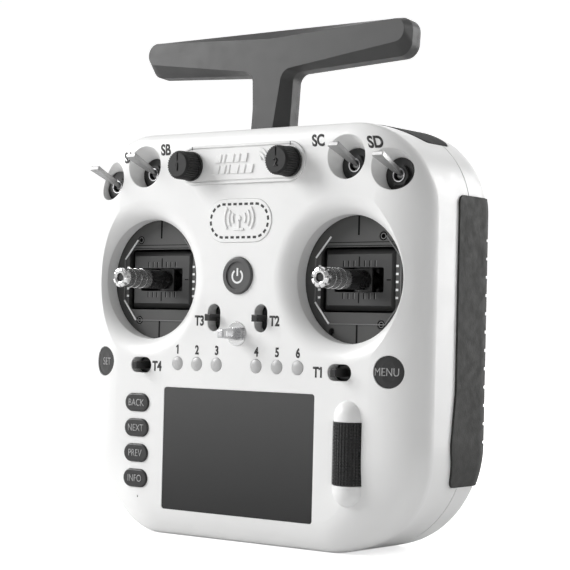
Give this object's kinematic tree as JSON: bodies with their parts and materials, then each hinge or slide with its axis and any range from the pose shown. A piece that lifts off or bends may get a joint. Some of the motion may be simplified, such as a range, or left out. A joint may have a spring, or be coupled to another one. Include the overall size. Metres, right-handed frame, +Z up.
{
  "type": "radio transmitter controller",
  "caption": "Handheld radio transmitter with rounded case, side grips, stick gimbals, toggle switches, knobs, trims, screen, scroll roller and folding T antenna.",
  "frame": {"origin": "centre of the flat bottom face the controller stands on", "axes": "+Z up towards the antenna, controls face -Y, +X to the viewer's right"},
  "size_m": [0.169, 0.0691, 0.2029],
  "materials": {
    "case_white": "satin",
    "grip_rubber": "textured",
    "preset_pale": "satin",
    "screen_dark": "gloss",
    "board_dark": "matte",
    "chrome": "polished",
    "steel": "brushed",
    "board_green": "matte",
    "cell_wrap": "gloss",
    "gimbal_dark": "satin",
    "switch_metal": "satin",
    "button_grey": "satin",
    "button_dark": "satin",
    "roller_dark": "satin",
    "antenna_grey": "satin",
    "knob_rubber": "matte",
    "trim_dark": "satin"
  },
  "bodies": {
    "case": {"front_shell": "case_white", "rear_shell": "case_white", "left_grip": "grip_rubber", "right_grip": "grip_rubber", "knob_panel": "case_white", "badge_plate": "case_white", "screen_lens": "screen_dark", "lcd_module": "board_dark", "lanyard_seat": "chrome", "lanyard_hook": "steel", "shell_screws": "steel", "circuit_boards": "board_green", "battery_cells": "cell_wrap", "usb_port": "steel", "module_cover": "antenna_grey", "gimbal_plates": "gimbal_dark", "gimbal_frames": "gimbal_dark", "gimbal_screws": "gimbal_dark", "knob_pots": "steel", "trim_brackets": "gimbal_dark", "switch_plates": "board_dark", "switch_bodies": "switch_metal", "switch_nuts": "board_dark", "antenna_hinge_pin": "steel"},
    "left_yoke": {"left_gimbal_yoke": "gimbal_dark"},
    "left_stick_set": {"left_stick": "gimbal_dark", "left_stick_tip": "chrome"},
    "left_knob": {"left_knob": "knob_rubber"},
    "left_shoulder": {"left_shoulder_button": "button_dark"},
    "right_yoke": {"right_gimbal_yoke": "gimbal_dark"},
    "right_stick_set": {"right_stick": "gimbal_dark", "right_stick_tip": "chrome"},
    "right_knob": {"right_knob": "knob_rubber"},
    "right_shoulder": {"right_shoulder_button": "button_dark"},
    "lever_a": {"switch_lever_a": "steel"},
    "lever_b": {"switch_lever_b": "steel"},
    "lever_c": {"switch_lever_c": "steel"},
    "lever_d": {"switch_lever_d": "steel"},
    "trim_1": {"trim_lever_1": "trim_dark"},
    "trim_2": {"trim_lever_2": "trim_dark"},
    "trim_3": {"trim_lever_3": "trim_dark"},
    "trim_4": {"trim_lever_4": "trim_dark"},
    "power_button": {"power_button": "button_grey"},
    "set_button": {"set_button": "button_dark"},
    "menu_button": {"menu_button": "button_dark"},
    "back_button": {"back_button": "button_dark"},
    "next_button": {"next_button": "button_dark"},
    "prev_button": {"prev_button": "button_dark"},
    "info_button": {"info_button": "button_dark"},
    "preset_button_1": {"preset_button_1": "preset_pale"},
    "preset_button_2": {"preset_button_2": "preset_pale"},
    "preset_button_3": {"preset_button_3": "preset_pale"},
    "preset_button_4": {"preset_button_4": "preset_pale"},
    "preset_button_5": {"preset_button_5": "preset_pale"},
    "preset_button_6": {"preset_button_6": "preset_pale"},
    "roller_bracket": {"wheel_carrier": "gimbal_dark"},
    "roller": {"scroll_wheel": "roller_dark"},
    "antenna": {"antenna_front_cover": "antenna_grey", "antenna_rear_cover": "antenna_grey"},
    "battery_door": {"battery_door": "antenna_grey"}
  },
  "joints": [
    {"name": "left_stick_up_down", "type": "hinge", "parent": "case", "child": "left_yoke", "pos_m": [-0.0495, -0.003, 0.1028], "axis": [1, 0, 0], "range_deg": [-25, 25]},
    {"name": "left_stick_left_right", "type": "hinge", "parent": "left_yoke", "child": "left_stick_set", "pos_m": [-0.0495, -0.003, 0.1028], "axis": [0, 0, 1], "range_deg": [-25, 25]},
    {"name": "left_knob_turn", "type": "hinge", "parent": "case", "child": "left_knob", "pos_m": [-0.0245, -0.027, 0.1474], "axis": [0, -1, 0], "range_deg": [-150, 150]},
    {"name": "left_shoulder_press", "type": "slide", "parent": "case", "child": "left_shoulder", "axis": [0, 0, -1], "range_m": [0, 0.0012]},
    {"name": "right_stick_up_down", "type": "hinge", "parent": "case", "child": "right_yoke", "pos_m": [0.0495, -0.003, 0.1028], "axis": [1, 0, 0], "range_deg": [-25, 25]},
    {"name": "right_stick_left_right", "type": "hinge", "parent": "right_yoke", "child": "right_stick_set", "pos_m": [0.0495, -0.003, 0.1028], "axis": [0, 0, 1], "range_deg": [-25, 25]},
    {"name": "right_knob_turn", "type": "hinge", "parent": "case", "child": "right_knob", "pos_m": [0.0245, -0.027, 0.1474], "axis": [0, -1, 0], "range_deg": [-150, 150]},
    {"name": "right_shoulder_press", "type": "slide", "parent": "case", "child": "right_shoulder", "axis": [0, 0, -1], "range_m": [0, 0.0012]},
    {"name": "switch_a_flip", "type": "hinge", "parent": "case", "child": "lever_a", "pos_m": [-0.0703, -0.019, 0.1412], "axis": [1, 0, 0], "range_deg": [0, 44]},
    {"name": "switch_b_flip", "type": "hinge", "parent": "case", "child": "lever_b", "pos_m": [-0.0503, -0.019, 0.1456], "axis": [1, 0, 0], "range_deg": [0, 44]},
    {"name": "switch_c_flip", "type": "hinge", "parent": "case", "child": "lever_c", "pos_m": [0.0503, -0.019, 0.1456], "axis": [1, 0, 0], "range_deg": [0, 44]},
    {"name": "switch_d_flip", "type": "hinge", "parent": "case", "child": "lever_d", "pos_m": [0.0703, -0.019, 0.1412], "axis": [1, 0, 0], "range_deg": [0, 44]},
    {"name": "trim_1_rock", "type": "hinge", "parent": "case", "child": "trim_1", "pos_m": [0.0494, -0.017, 0.0678], "axis": [0, 0, 1], "range_deg": [-10, 10]},
    {"name": "trim_2_rock", "type": "hinge", "parent": "case", "child": "trim_2", "pos_m": [0.0117, -0.017, 0.0875], "axis": [1, 0, 0], "range_deg": [-10, 10]},
    {"name": "trim_3_rock", "type": "hinge", "parent": "case", "child": "trim_3", "pos_m": [-0.0117, -0.017, 0.0875], "axis": [1, 0, 0], "range_deg": [-10, 10]},
    {"name": "trim_4_rock", "type": "hinge", "parent": "case", "child": "trim_4", "pos_m": [-0.0494, -0.017, 0.0678], "axis": [0, 0, 1], "range_deg": [-10, 10]},
    {"name": "power_button_press", "type": "slide", "parent": "case", "child": "power_button", "axis": [0, 1, 0], "range_m": [0, 0.0008]},
    {"name": "set_button_press", "type": "slide", "parent": "case", "child": "set_button", "axis": [0.2438, 0.9698, 0], "range_m": [0, 0.0008]},
    {"name": "menu_button_press", "type": "slide", "parent": "case", "child": "menu_button", "axis": [-0.2438, 0.9698, 0], "range_m": [0, 0.0008]},
    {"name": "back_button_press", "type": "slide", "parent": "case", "child": "back_button", "axis": [0, 1, 0], "range_m": [0, 0.0008]},
    {"name": "next_button_press", "type": "slide", "parent": "case", "child": "next_button", "axis": [0, 1, 0], "range_m": [0, 0.0008]},
    {"name": "prev_button_press", "type": "slide", "parent": "case", "child": "prev_button", "axis": [0, 1, 0], "range_m": [0, 0.0008]},
    {"name": "info_button_press", "type": "slide", "parent": "case", "child": "info_button", "axis": [0, 1, 0], "range_m": [0, 0.0008]},
    {"name": "preset_button_1_press", "type": "slide", "parent": "case", "child": "preset_button_1", "axis": [0, 1, 0], "range_m": [0, 0.0008]},
    {"name": "preset_button_2_press", "type": "slide", "parent": "case", "child": "preset_button_2", "axis": [0, 1, 0], "range_m": [0, 0.0008]},
    {"name": "preset_button_3_press", "type": "slide", "parent": "case", "child": "preset_button_3", "axis": [0, 1, 0], "range_m": [0, 0.0008]},
    {"name": "preset_button_4_press", "type": "slide", "parent": "case", "child": "preset_button_4", "axis": [0, 1, 0], "range_m": [0, 0.0008]},
    {"name": "preset_button_5_press", "type": "slide", "parent": "case", "child": "preset_button_5", "axis": [0, 1, 0], "range_m": [0, 0.0008]},
    {"name": "preset_button_6_press", "type": "slide", "parent": "case", "child": "preset_button_6", "axis": [0, 1, 0], "range_m": [0, 0.0008]},
    {"name": "roller_press", "type": "slide", "parent": "case", "child": "roller_bracket", "axis": [0, 1, 0], "range_m": [0, 0.0006]},
    {"name": "roller_turn", "type": "hinge", "parent": "roller_bracket", "child": "roller", "pos_m": [0.0536, -0.025, 0.038], "axis": [0, 0, 1], "continuous": true},
    {"name": "antenna_fold", "type": "hinge", "parent": "case", "child": "antenna", "pos_m": [0, -0.009, 0.154], "axis": [1, 0, 0], "range_deg": [-54, 5]},
    {"name": "battery_door_lift", "type": "slide", "parent": "case", "child": "battery_door", "axis": [0, 1, 0], "range_m": [0, 0.025]}
  ]
}
